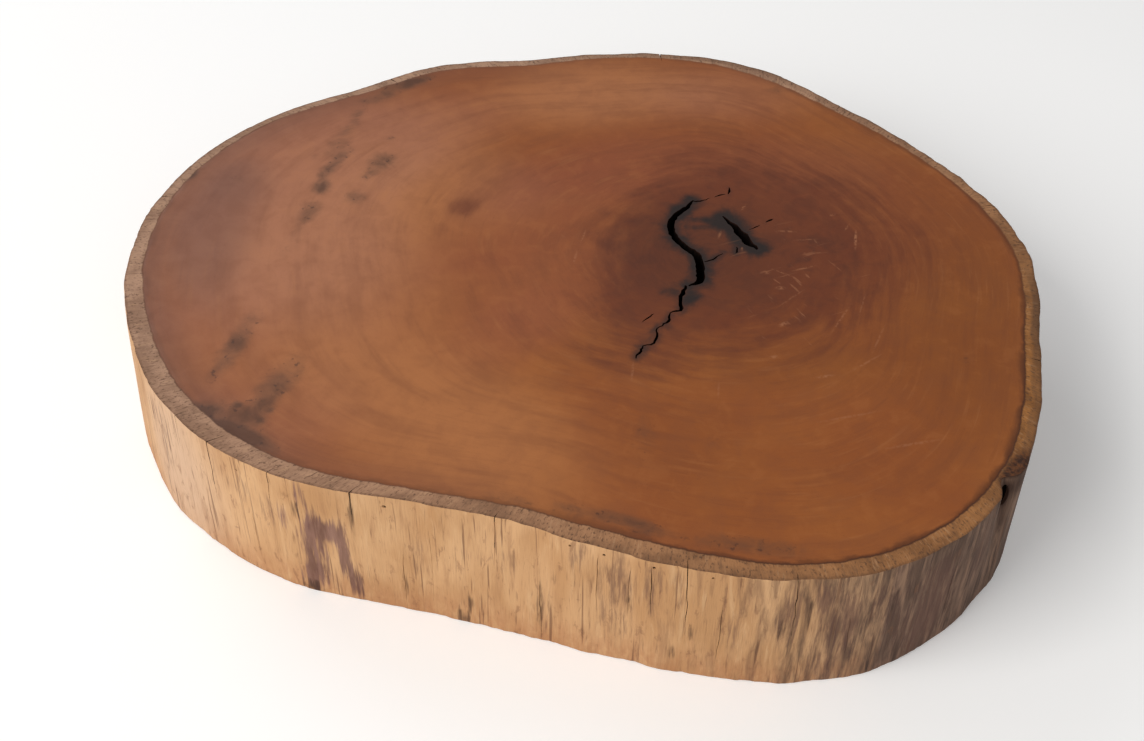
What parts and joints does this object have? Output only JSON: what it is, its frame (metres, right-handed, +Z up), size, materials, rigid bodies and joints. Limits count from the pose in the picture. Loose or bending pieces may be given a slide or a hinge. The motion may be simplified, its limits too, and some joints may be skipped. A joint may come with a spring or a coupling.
{
  "type": "wood slice",
  "caption": "Thick debarked slice of a tree trunk with flat sawn faces, an open heart crack and a pale sapwood rim, for use as a table top, plinth or stand.",
  "frame": {"origin": "on the surface it stands on, under the middle of the slice's box", "axes": "+Z up out of the upper face, +X along the longest dimension, +Y towards the far edge"},
  "size_m": [0.567, 0.4776, 0.095],
  "materials": {
    "wood": "oiled satin on the upper face, bare on the wall and the underside"
  },
  "bodies": {
    "root": {"wood_slice": "wood"}
  },
  "joints": []
}
